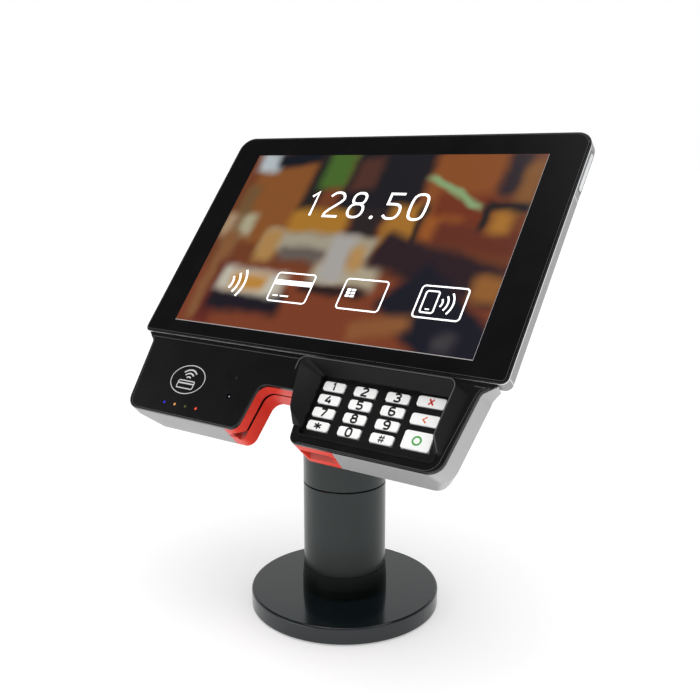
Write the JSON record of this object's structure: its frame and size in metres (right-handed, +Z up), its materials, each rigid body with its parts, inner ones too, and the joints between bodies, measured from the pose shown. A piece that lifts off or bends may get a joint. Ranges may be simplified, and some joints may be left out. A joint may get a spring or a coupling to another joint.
{
  "type": "card payment terminal",
  "caption": "Counter card payment terminal: tilting touch tablet with card slot, keypad and contactless reader on a round swivel post with a disc base.",
  "frame": {"origin": "centre of the foot's underside, on the post's axis", "axes": "+Z up along the post, screen facing -Y, +X to the reader's right"},
  "size_m": [0.2624, 0.1441, 0.2972],
  "materials": {
    "powder_coat": "matt",
    "steel": "satin",
    "rubber": "matt",
    "bush": "satin",
    "acetal": "matt",
    "aluminium": "satin",
    "grey_shell": "satin",
    "cover_glass": "gloss",
    "display": "gloss",
    "circuit_board": "matt",
    "battery": "matt",
    "black_plastic": "matt",
    "grey_key": "satin",
    "gloss_black": "gloss",
    "orange_plastic": "satin",
    "clear_plastic": "clear",
    "lens": "gloss",
    "contacts": "satin",
    "dark_cover": "matt",
    "key_white": "satin"
  },
  "bodies": {
    "stand_base": {"foot_pad": "rubber", "base_plate": "powder_coat", "post_foot": "steel", "post_screws": "steel", "post_collar": "powder_coat", "lower_post": "powder_coat", "swivel_bush": "bush", "thrust_washer": "acetal"},
    "swivel_post": {"upper_post": "powder_coat", "swivel_hub": "aluminium", "swivel_spindle": "steel", "spindle_nut": "steel", "tilt_yoke": "powder_coat", "tilt_bolt": "steel", "tilt_nut": "steel", "friction_washers": "acetal"},
    "terminal_head": {"tilt_knuckle": "powder_coat", "mount_screws": "steel", "tablet_shell": "grey_shell", "cover_glass": "cover_glass", "display_panel": "display", "tablet_board": "circuit_board", "tablet_battery": "battery", "speaker": "black_plastic", "module_housing": "grey_shell", "front_cover": "gloss_black", "card_guide_front": "orange_plastic", "card_guide_back": "orange_plastic", "keypad_hood": "black_plastic", "key_mat": "rubber", "keypad_board": "circuit_board", "antenna_board": "circuit_board", "status_lights": "clear_plastic", "camera_lens": "lens", "sensor_window": "lens", "card_reader_body": "black_plastic", "reader_contacts": "contacts", "payment_board": "circuit_board", "rear_cover": "dark_cover", "cover_screws": "steel", "cable_inlet": "rubber"},
    "key_1": {"key_1": "key_white"},
    "key_2": {"key_2": "key_white"},
    "key_3": {"key_3": "key_white"},
    "key_4": {"key_4": "key_white"},
    "key_5": {"key_5": "key_white"},
    "key_6": {"key_6": "key_white"},
    "key_7": {"key_7": "key_white"},
    "key_8": {"key_8": "key_white"},
    "key_9": {"key_9": "key_white"},
    "key_star": {"key_star": "key_white"},
    "key_0": {"key_0": "key_white"},
    "key_hash": {"key_hash": "key_white"},
    "key_cancel": {"key_cancel": "key_white"},
    "key_clear": {"key_clear": "key_white"},
    "key_enter": {"key_enter": "key_white"},
    "volume_key": {"volume_key": "grey_key"},
    "power_key": {"power_key": "grey_key"}
  },
  "joints": [
    {"name": "post_swivel", "type": "hinge", "parent": "stand_base", "child": "swivel_post", "pos_m": [0, 0, 0.0827], "axis": [0, 0, 1], "range_deg": [-170, 170]},
    {"name": "head_tilt", "type": "hinge", "parent": "swivel_post", "child": "terminal_head", "pos_m": [0, 0, 0.162], "axis": [1, 0, 0], "range_deg": [-40, 15]},
    {"name": "key_1_press", "type": "slide", "parent": "terminal_head", "child": "key_1", "axis": [0, 0.7705, -0.6374], "range_m": [0, 0.0009], "stiffness_N_per_m": 600, "springref_m": -0.0006},
    {"name": "key_2_press", "type": "slide", "parent": "terminal_head", "child": "key_2", "axis": [0, 0.7705, -0.6374], "range_m": [0, 0.0009], "stiffness_N_per_m": 600, "springref_m": -0.0006},
    {"name": "key_3_press", "type": "slide", "parent": "terminal_head", "child": "key_3", "axis": [0, 0.7705, -0.6374], "range_m": [0, 0.0009], "stiffness_N_per_m": 600, "springref_m": -0.0006},
    {"name": "key_4_press", "type": "slide", "parent": "terminal_head", "child": "key_4", "axis": [0, 0.7705, -0.6374], "range_m": [0, 0.0009], "stiffness_N_per_m": 600, "springref_m": -0.0006},
    {"name": "key_5_press", "type": "slide", "parent": "terminal_head", "child": "key_5", "axis": [0, 0.7705, -0.6374], "range_m": [0, 0.0009], "stiffness_N_per_m": 600, "springref_m": -0.0006},
    {"name": "key_6_press", "type": "slide", "parent": "terminal_head", "child": "key_6", "axis": [0, 0.7705, -0.6374], "range_m": [0, 0.0009], "stiffness_N_per_m": 600, "springref_m": -0.0006},
    {"name": "key_7_press", "type": "slide", "parent": "terminal_head", "child": "key_7", "axis": [0, 0.7705, -0.6374], "range_m": [0, 0.0009], "stiffness_N_per_m": 600, "springref_m": -0.0006},
    {"name": "key_8_press", "type": "slide", "parent": "terminal_head", "child": "key_8", "axis": [0, 0.7705, -0.6374], "range_m": [0, 0.0009], "stiffness_N_per_m": 600, "springref_m": -0.0006},
    {"name": "key_9_press", "type": "slide", "parent": "terminal_head", "child": "key_9", "axis": [0, 0.7705, -0.6374], "range_m": [0, 0.0009], "stiffness_N_per_m": 600, "springref_m": -0.0006},
    {"name": "key_star_press", "type": "slide", "parent": "terminal_head", "child": "key_star", "axis": [0, 0.7705, -0.6374], "range_m": [0, 0.0009], "stiffness_N_per_m": 600, "springref_m": -0.0006},
    {"name": "key_0_press", "type": "slide", "parent": "terminal_head", "child": "key_0", "axis": [0, 0.7705, -0.6374], "range_m": [0, 0.0009], "stiffness_N_per_m": 600, "springref_m": -0.0006},
    {"name": "key_hash_press", "type": "slide", "parent": "terminal_head", "child": "key_hash", "axis": [0, 0.7705, -0.6374], "range_m": [0, 0.0009], "stiffness_N_per_m": 600, "springref_m": -0.0006},
    {"name": "key_cancel_press", "type": "slide", "parent": "terminal_head", "child": "key_cancel", "axis": [0, 0.7705, -0.6374], "range_m": [0, 0.0009], "stiffness_N_per_m": 600, "springref_m": -0.0006},
    {"name": "key_clear_press", "type": "slide", "parent": "terminal_head", "child": "key_clear", "axis": [0, 0.7705, -0.6374], "range_m": [0, 0.0009], "stiffness_N_per_m": 600, "springref_m": -0.0006},
    {"name": "key_enter_press", "type": "slide", "parent": "terminal_head", "child": "key_enter", "axis": [0, 0.7705, -0.6374], "range_m": [0, 0.0009], "stiffness_N_per_m": 600, "springref_m": -0.0006},
    {"name": "volume_key_press", "type": "slide", "parent": "terminal_head", "child": "volume_key", "axis": [-1, 0, 0], "range_m": [0, 0.0004], "stiffness_N_per_m": 1500, "springref_m": -0.0004},
    {"name": "power_key_press", "type": "slide", "parent": "terminal_head", "child": "power_key", "axis": [0, -0.6374, -0.7705], "range_m": [0, 0.0004], "stiffness_N_per_m": 1500, "springref_m": -0.0004}
  ]
}
